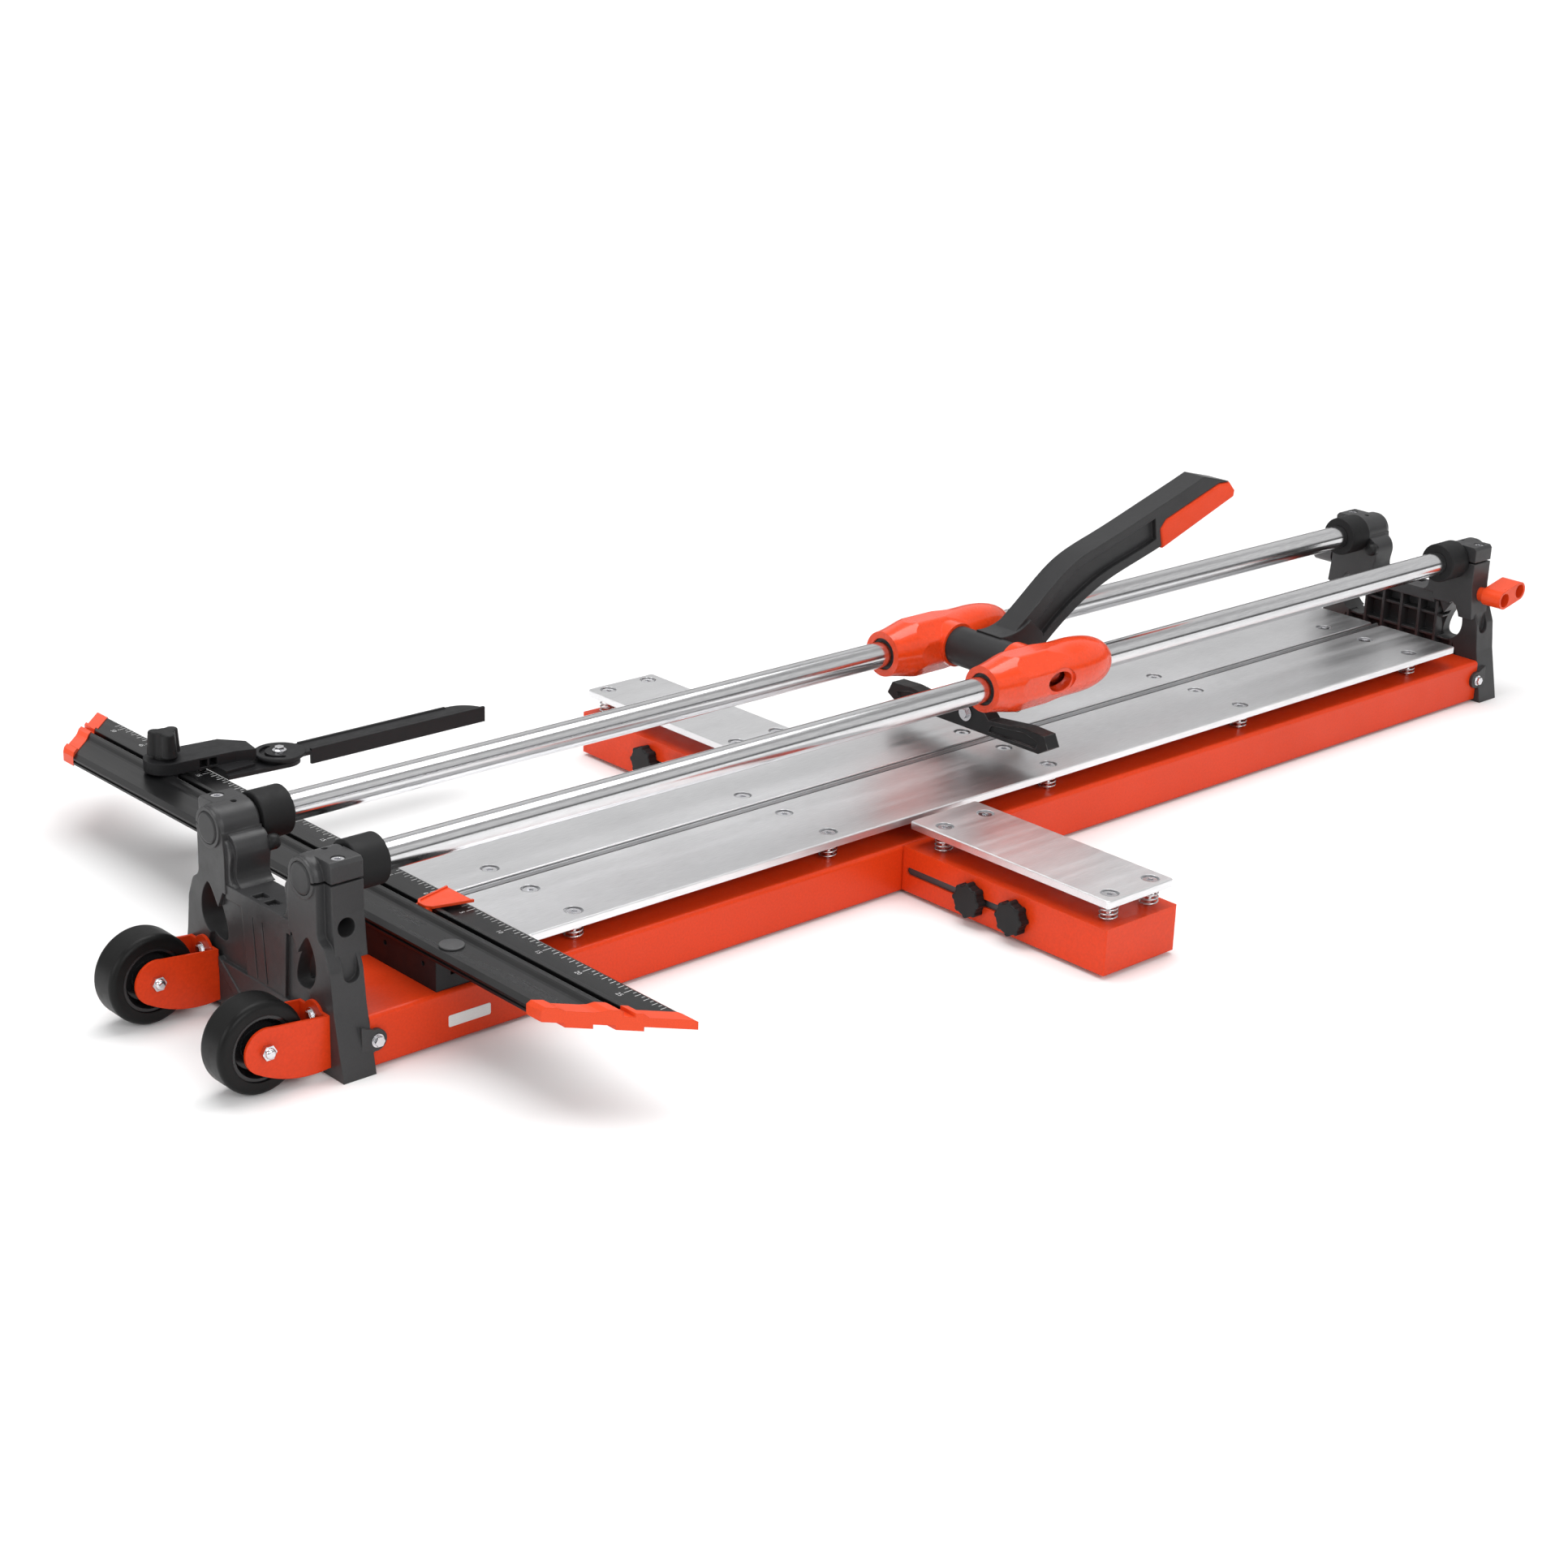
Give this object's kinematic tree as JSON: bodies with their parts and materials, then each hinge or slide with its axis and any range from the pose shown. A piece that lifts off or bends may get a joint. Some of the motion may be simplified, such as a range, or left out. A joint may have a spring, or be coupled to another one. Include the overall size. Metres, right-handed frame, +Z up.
{
  "type": "manual tile cutter",
  "caption": "Long rail-guided manual tile cutter with a lever carriage, scoring wheel, breaker foot, sprung bed, sliding side arms, angled fence with lateral stop and transport wheels.",
  "frame": {"origin": "on the floor, midway between the outer faces of the two end frames and under the cutting line, at the underside of the rubber foot", "axes": "+X along the rails from the wheel end to the far end, +Y across towards the lateral stop, +Z up"},
  "size_m": [1.6332, 0.9074, 0.291],
  "materials": {
    "frame_casting": "satin",
    "red_steel": "satin",
    "red_casting": "satin",
    "rail_chrome": "polished",
    "plug_plastic": "gloss",
    "rubber_black": "matte",
    "bright_steel": "polished",
    "spring_steel": "satin",
    "plate_aluminium": "satin",
    "plain_steel": "satin",
    "tool_steel": "satin",
    "bush_plastic": "matte",
    "guide_steel": "satin",
    "knob_plastic": "matte",
    "black_aluminium": "satin",
    "black_plastic": "matte",
    "orange_plastic": "satin",
    "grey_plastic": "satin",
    "lever_casting": "satin",
    "grip_rubber": "matte",
    "foot_casting": "satin",
    "tyre_rubber": "matte",
    "hub_plastic": "gloss"
  },
  "bodies": {
    "base": {"arm_guides": "guide_steel", "bracket_screws": "bright_steel", "breaking_rib": "plain_steel", "bumper_rings": "rubber_black", "chassis": "red_steel", "chassis_bolts": "bright_steel", "chassis_foot": "rubber_black", "far_frame": "frame_casting", "fence_bar": "black_aluminium", "fence_block": "black_plastic", "fence_end_caps": "orange_plastic", "fence_plug": "grey_plastic", "near_frame": "frame_casting", "rail_clamp_bolts": "bright_steel", "rail_end_plugs": "plug_plastic", "rails": "rail_chrome", "saddle_bolts": "bright_steel", "table_left_springs": "spring_steel", "table_right_springs": "spring_steel", "table_screws": "bright_steel", "wheel_axles": "bright_steel", "wheel_brackets": "red_steel"},
    "wheel_left": {"wheel_tyre_left": "tyre_rubber", "wheel_hub_left": "hub_plastic"},
    "wheel_right": {"wheel_tyre_right": "tyre_rubber", "wheel_hub_right": "hub_plastic"},
    "bed_table_left": {"table_left": "plate_aluminium"},
    "bed_table_right": {"table_right": "plate_aluminium"},
    "side_arm_left": {"arm_box_left": "red_steel", "arm_screws_left": "bright_steel", "arm_springs_left": "spring_steel"},
    "arm_table_left": {"arm_plate_left": "plate_aluminium"},
    "clamp_knob_left_1": {"arm_knob_left_1": "knob_plastic"},
    "clamp_knob_left_2": {"arm_knob_left_2": "knob_plastic"},
    "side_arm_right": {"arm_box_right": "red_steel", "arm_screws_right": "bright_steel", "arm_springs_right": "spring_steel"},
    "arm_table_right": {"arm_plate_right": "plate_aluminium"},
    "clamp_knob_right_1": {"arm_knob_right_1": "knob_plastic"},
    "clamp_knob_right_2": {"arm_knob_right_2": "knob_plastic"},
    "carriage": {"sleeve_left": "red_casting", "sleeve_right": "red_casting", "slide_bushes": "bush_plastic", "cross_axle": "bright_steel"},
    "handle": {"cross_tube": "lever_casting", "lever": "lever_casting", "grip": "grip_rubber", "cutter_holder": "plain_steel", "cutter_pin": "bright_steel", "foot_bolt": "bright_steel"},
    "foot": {"breaker_foot": "foot_casting"},
    "cutting_wheel": {"scoring_wheel": "tool_steel"},
    "stop_shoe": {"lateral_stop_arm": "black_plastic", "stop_pivot_screw": "bright_steel"},
    "stop_knob": {"lateral_stop_knob": "knob_plastic"},
    "swing_stop": {"stop_bar": "black_plastic", "protractor_disc": "black_plastic"},
    "clip": {"fence_clip": "orange_plastic"},
    "frame_knob_left": {"wing_knob_left": "grey_plastic"},
    "frame_knob_right": {"wing_knob_right": "orange_plastic"}
  },
  "joints": [
    {"name": "carriage_slide", "type": "slide", "parent": "base", "child": "carriage", "axis": [1, 0, 0], "range_m": [-0.65, 0.545]},
    {"name": "handle_tilt", "type": "hinge", "parent": "carriage", "child": "handle", "pos_m": [0.054, 0, 0.157], "axis": [0, 1, 0], "range_deg": [-35, 20]},
    {"name": "foot_swivel", "type": "hinge", "parent": "handle", "child": "foot", "pos_m": [0.039, 0, 0.103], "axis": [1, 0, 0], "range_deg": [-2, 2]},
    {"name": "scoring_wheel_spin", "type": "hinge", "parent": "handle", "child": "cutting_wheel", "pos_m": [0.105, 0, 0.099], "axis": [0, 1, 0], "continuous": true},
    {"name": "table_press_left", "type": "slide", "parent": "base", "child": "bed_table_left", "axis": [0, 0, 1], "range_m": [-0.004, 0], "stiffness_N_per_m": 20000, "springref_m": 0.002, "deforming": ["table_left_springs"]},
    {"name": "table_press_right", "type": "slide", "parent": "base", "child": "bed_table_right", "axis": [0, 0, 1], "range_m": [-0.004, 0], "stiffness_N_per_m": 20000, "springref_m": 0.002, "deforming": ["table_right_springs"]},
    {"name": "arm_slide_left", "type": "slide", "parent": "base", "child": "side_arm_left", "axis": [0, 1, 0], "range_m": [0, 0.075]},
    {"name": "arm_press_left", "type": "slide", "parent": "side_arm_left", "child": "arm_table_left", "axis": [0, 0, 1], "range_m": [-0.004, 0], "stiffness_N_per_m": 8000, "springref_m": 0.002, "deforming": ["arm_springs_left"]},
    {"name": "clamp_knob_turn_left_1", "type": "hinge", "parent": "base", "child": "clamp_knob_left_1", "pos_m": [-0.157, 0.197, 0.024], "axis": [1, 0, 0], "range_deg": [-180, 180]},
    {"name": "clamp_knob_turn_left_2", "type": "hinge", "parent": "base", "child": "clamp_knob_left_2", "pos_m": [-0.157, 0.248, 0.024], "axis": [1, 0, 0], "range_deg": [-180, 180]},
    {"name": "wheel_spin_left", "type": "hinge", "parent": "base", "child": "wheel_left", "pos_m": [-0.817, 0.079, 0.0386], "axis": [0, 1, 0], "continuous": true},
    {"name": "arm_slide_right", "type": "slide", "parent": "base", "child": "side_arm_right", "axis": [0, -1, 0], "range_m": [0, 0.075]},
    {"name": "arm_press_right", "type": "slide", "parent": "side_arm_right", "child": "arm_table_right", "axis": [0, 0, 1], "range_m": [-0.004, 0], "stiffness_N_per_m": 8000, "springref_m": 0.002, "deforming": ["arm_springs_right"]},
    {"name": "clamp_knob_turn_right_1", "type": "hinge", "parent": "base", "child": "clamp_knob_right_1", "pos_m": [-0.157, -0.197, 0.024], "axis": [1, 0, 0], "range_deg": [-180, 180]},
    {"name": "clamp_knob_turn_right_2", "type": "hinge", "parent": "base", "child": "clamp_knob_right_2", "pos_m": [-0.157, -0.248, 0.024], "axis": [1, 0, 0], "range_deg": [-180, 180]},
    {"name": "wheel_spin_right", "type": "hinge", "parent": "base", "child": "wheel_right", "pos_m": [-0.817, -0.079, 0.0386], "axis": [0, 1, 0], "continuous": true},
    {"name": "stop_slide", "type": "slide", "parent": "base", "child": "stop_shoe", "axis": [0, 1, 0], "range_m": [-0.19, 0.06]},
    {"name": "stop_knob_turn", "type": "hinge", "parent": "stop_shoe", "child": "stop_knob", "pos_m": [-0.62125, 0.371, 0.1], "axis": [0, 0, 1], "range_deg": [-180, 180]},
    {"name": "stop_bar_swing", "type": "hinge", "parent": "stop_shoe", "child": "swing_stop", "pos_m": [-0.52, 0.342, 0.085], "axis": [0, 0, 1], "range_deg": [0, 45]},
    {"name": "clip_slide", "type": "slide", "parent": "base", "child": "clip", "axis": [0, 1, 0], "range_m": [-0.1, 0.12]},
    {"name": "frame_knob_turn_left", "type": "hinge", "parent": "base", "child": "frame_knob_left", "pos_m": [0.741, 0.1, 0.118], "axis": [0, 1, 0], "range_deg": [-60, 60]},
    {"name": "frame_knob_turn_right", "type": "hinge", "parent": "base", "child": "frame_knob_right", "pos_m": [0.741, -0.1, 0.118], "axis": [0, 1, 0], "range_deg": [-60, 60]}
  ]
}
